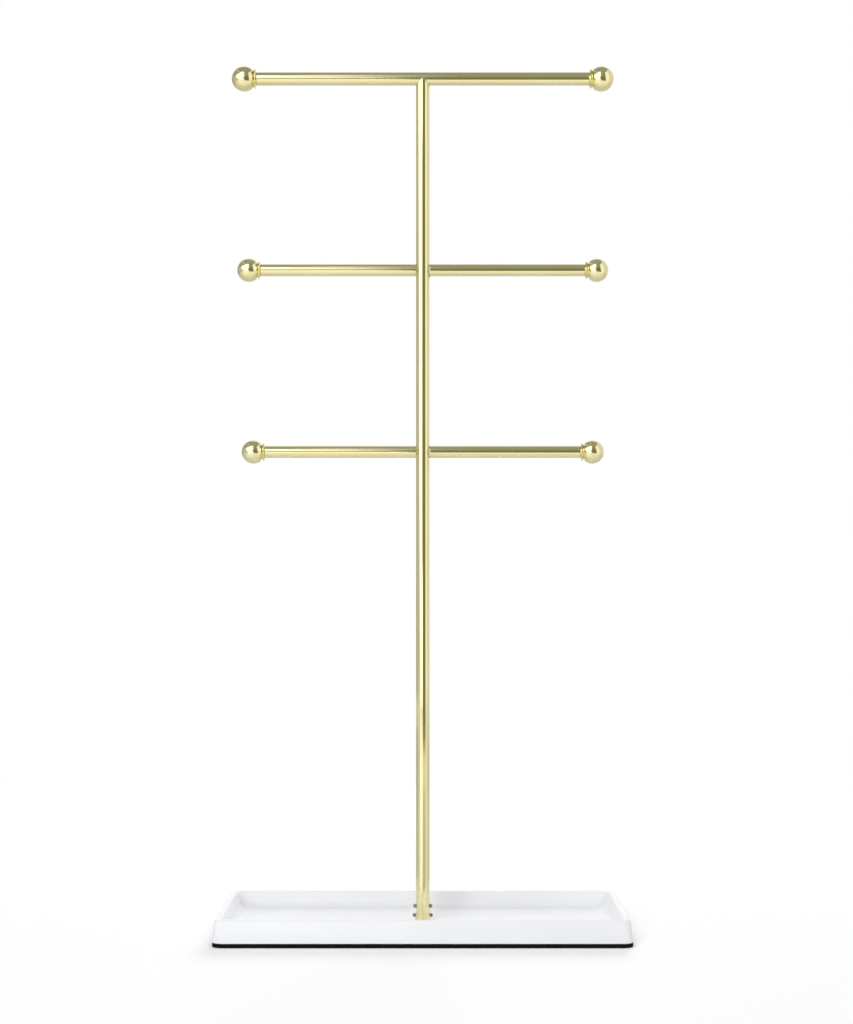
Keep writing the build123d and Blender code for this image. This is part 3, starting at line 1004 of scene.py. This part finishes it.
def make_lamp(name, azimuth, elevation, distance, width, brightness):
    """A square soft lamp that gives a white card facing it, in the stand's place, this brightness.

    Its power is brightness * pi^2 * distance^2. It stands azimuth to the right of the camera's direction and
    elevation up, in degrees, and points at the middle of the stand.
    """
    data = bpy.data.lights.new(name, "AREA")
    data.shape = "SQUARE"
    data.size = width
    data.energy = brightness * math.pi ** 2 * distance ** 2
    lamp = bpy.data.objects.new(name, data)
    a, e = math.radians(azimuth), math.radians(elevation)
    way = Vector((math.sin(a) * math.cos(e), -math.cos(a) * math.cos(e), math.sin(e)))
    centre = (CAD_BOX[0] + CAD_BOX[1]) / 2
    lamp.location = centre + distance * way
    lamp.rotation_euler = (centre - lamp.location).to_track_quat("-Z", "Y").to_euler()
    lamp.visible_camera = False
    lamp.visible_glossy = False
    bpy.context.scene.collection.objects.link(lamp)


def make_camera(studio):
    """The photograph's view: from the front, lower than the lowest bar, looking slightly up."""
    data = bpy.data.cameras.new("camera")
    data.sensor_width = 36.0
    data.lens = studio.lens
    data.clip_start = 0.01
    data.clip_end = 100.0
    camera = bpy.data.objects.new("camera", data)
    camera.location = (studio.camera_x, -studio.camera_distance, studio.camera_height)
    camera.rotation_euler = (math.pi / 2 + studio.camera_tilt, 0, 0)
    bpy.context.scene.collection.objects.link(camera)
    bpy.context.scene.camera = camera


# ---- operators ----

class StandOperator:
    """What the stand's operators share."""

    bl_options = {"REGISTER", "UNDO"}


class STAND_OT_pad(StandOperator, Operator):
    """Make the foam pad under the tray"""

    bl_idname = "stand.pad"
    bl_label = "Foam pad"

    def execute(self, context):
        make_pad(context.scene.stand_tray, context.scene.stand_finishes)
        return {"FINISHED"}


class STAND_OT_tray(StandOperator, Operator):
    """Make the moulded white tray"""

    bl_idname = "stand.tray"
    bl_label = "Tray"

    def execute(self, context):
        make_tray(context.scene.stand_tray, context.scene.stand_finishes)
        return {"FINISHED"}


class STAND_OT_post(StandOperator, Operator):
    """Make the post"""

    bl_idname = "stand.post"
    bl_label = "Post"

    def execute(self, context):
        make_post(context.scene.stand_rods, drawn_upright(context.scene.stand_finishes))
        return {"FINISHED"}


class STAND_OT_foot(StandOperator, Operator):
    """Make the ferrule at the foot of the post and the four rivets there"""

    bl_idname = "stand.foot"
    bl_label = "Ferrule and rivets"

    def execute(self, context):
        sizes, finishes = context.scene.stand_turnings, context.scene.stand_finishes
        make_ferrule(sizes, turned_upright(finishes))
        steel = painted_shade_rivet(finishes)
        for tier, seat_node in (("upper", "post"), ("lower", "foot_ferrule")):
            for hand, side in HANDS:
                make_rivet(sizes, f"foot_rivet_{tier}_{hand}", side, upright_radius(seat_node), steel)
        return {"FINISHED"}


class STAND_OT_bars(StandOperator, Operator):
    """Make the top bar and the four arms"""

    bl_idname = "stand.bars"
    bl_label = "Bar and arms"

    def execute(self, context):
        sizes, steel = context.scene.stand_rods, drawn_level(context.scene.stand_finishes)
        make_top_bar(sizes, steel)
        for tier in ARM_TIERS:
            for hand, side in HANDS:
                make_arm(sizes, f"{tier}_arm_{hand}", side, steel)
        return {"FINISHED"}


class STAND_OT_finials(StandOperator, Operator):
    """Make the six turned ball ends"""

    bl_idname = "stand.finials"
    bl_label = "Ball ends"

    def execute(self, context):
        sizes, brass = context.scene.stand_turnings, turned_level(context.scene.stand_finishes)
        for hand, side in HANDS:
            make_finial(sizes, f"top_finial_{hand}", side, "top_bar", sizes.top_collar_proud, brass)
            for tier in ARM_TIERS:
                node, arm = f"{tier}_finial_{hand}", f"{tier}_arm_{hand}"
                make_finial(sizes, node, side, arm, sizes.arm_collar_proud, brass)
        return {"FINISHED"}


class STAND_OT_braze(StandOperator, Operator):
    """Make the braze at the five joints, and the bead beside the middle right arm"""

    bl_idname = "stand.braze"
    bl_label = "Braze"

    def execute(self, context):
        sizes, braze = context.scene.stand_rods, plated_braze(context.scene.stand_finishes)
        make_saddle_braze(sizes, braze)
        for tier in ARM_TIERS:
            for hand, side in HANDS:
                make_arm_braze(sizes, f"{tier}_arm_{hand}", side, braze)
        make_braze_drop(sizes, braze)
        return {"FINISHED"}


class STAND_OT_fixings(StandOperator, Operator):
    """Give the screw, washer, insert and cross pins their real metals"""

    bl_idname = "stand.fixings"
    bl_label = "Fixings"

    def execute(self, context):
        zinc = zinc_steel(context.scene.stand_finishes)
        metals = {
            "base_screw": zinc,
            "base_washer": zinc,
            "middle_cross_pin": zinc,
            "lower_cross_pin": zinc,
            "foot_insert": turned_brass(context.scene.stand_finishes),
        }
        for node, metal in metals.items():
            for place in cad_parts[node].material_slots:
                place.material = metal
        return {"FINISHED"}


class STAND_OT_studio(StandOperator, Operator):
    """Set up the camera, the white studio, its lamps and the glowing panels that paint reflections into the
    metal
    """

    bl_idname = "stand.studio"
    bl_label = "Studio"

    def execute(self, context):
        studio = context.scene.stand_studio
        context.scene.view_settings.view_transform = "Standard"
        make_camera(studio)
        make_world(studio)
        make_floor(studio)
        for name, *place in LAMPS:
            make_lamp(f"{name}_lamp", *place, getattr(studio, f"{name}_light"))
        for panel in PANELS:
            make_painted_reflection(studio.cloth, *panel)
        make_painted_ceiling()
        return {"FINISHED"}


STEPS = (
    STAND_OT_studio,
    STAND_OT_pad,
    STAND_OT_tray,
    STAND_OT_post,
    STAND_OT_foot,
    STAND_OT_bars,
    STAND_OT_finials,
    STAND_OT_braze,
    STAND_OT_fixings,
)


class STAND_PT_panel(Panel):
    """The stand's steps, sizes and colours"""

    bl_idname = "STAND_PT_panel"
    bl_label = "Jewellery stand"
    bl_space_type = "VIEW_3D"
    bl_region_type = "UI"
    bl_category = "Stand"

    def draw(self, context):
        for step in STEPS:
            self.layout.operator(step.bl_idname)
        for group in GROUPS:
            values = getattr(context.scene, group)
            box = self.layout.box()
            for name in values.bl_rna.properties.keys():
                if name not in ("rna_type", "name"):
                    box.prop(values, name)


GROUPS = {
    "stand_tray": TraySizes,
    "stand_rods": RodSizes,
    "stand_turnings": TurnedSizes,
    "stand_finishes": Finishes,
    "stand_studio": Studio,
}
CLASSES = (*GROUPS.values(), *STEPS, STAND_PT_panel)


def register():
    for each in CLASSES:
        bpy.utils.register_class(each)
    for name, group in GROUPS.items():
        setattr(bpy.types.Scene, name, PointerProperty(type=group))


def unregister():
    for name in GROUPS:
        delattr(bpy.types.Scene, name)
    for each in reversed(CLASSES):
        bpy.utils.unregister_class(each)


def main():
    register()
    for step in STEPS:
        group, name = step.bl_idname.split(".")
        getattr(getattr(bpy.ops, group), name)()


if __name__ == "__main__":
    main()
